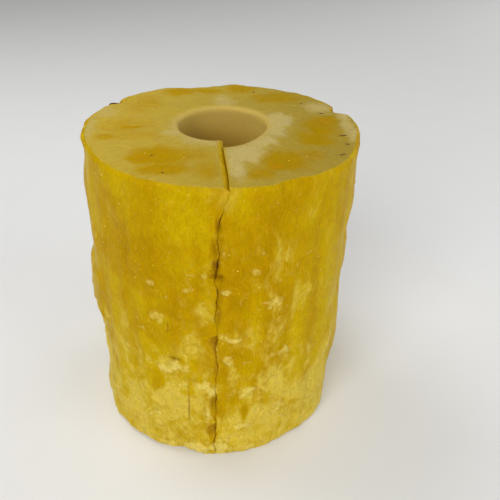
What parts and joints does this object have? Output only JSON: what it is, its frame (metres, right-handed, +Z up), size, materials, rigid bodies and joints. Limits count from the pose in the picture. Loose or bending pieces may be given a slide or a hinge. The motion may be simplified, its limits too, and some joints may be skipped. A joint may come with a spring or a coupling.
{
  "type": "peeled cored pineapple",
  "caption": "Whole fresh pineapple, peeled and cored to a thick upright tube of flesh with a flat base, a round core hole and a ragged slit down one side.",
  "frame": {"origin": "middle of the fruit's outer box, at its base", "axes": "+Z up along the core hole, slit towards -Y, +X to the right when looking at the slit"},
  "size_m": [0.0954, 0.0954, 0.1103],
  "materials": {
    "pineapple_flesh": "wet, slightly translucent ripe fruit flesh, golden yellow with paler torn patches"
  },
  "bodies": {
    "root": {"pineapple_flesh": "pineapple_flesh"}
  },
  "joints": []
}
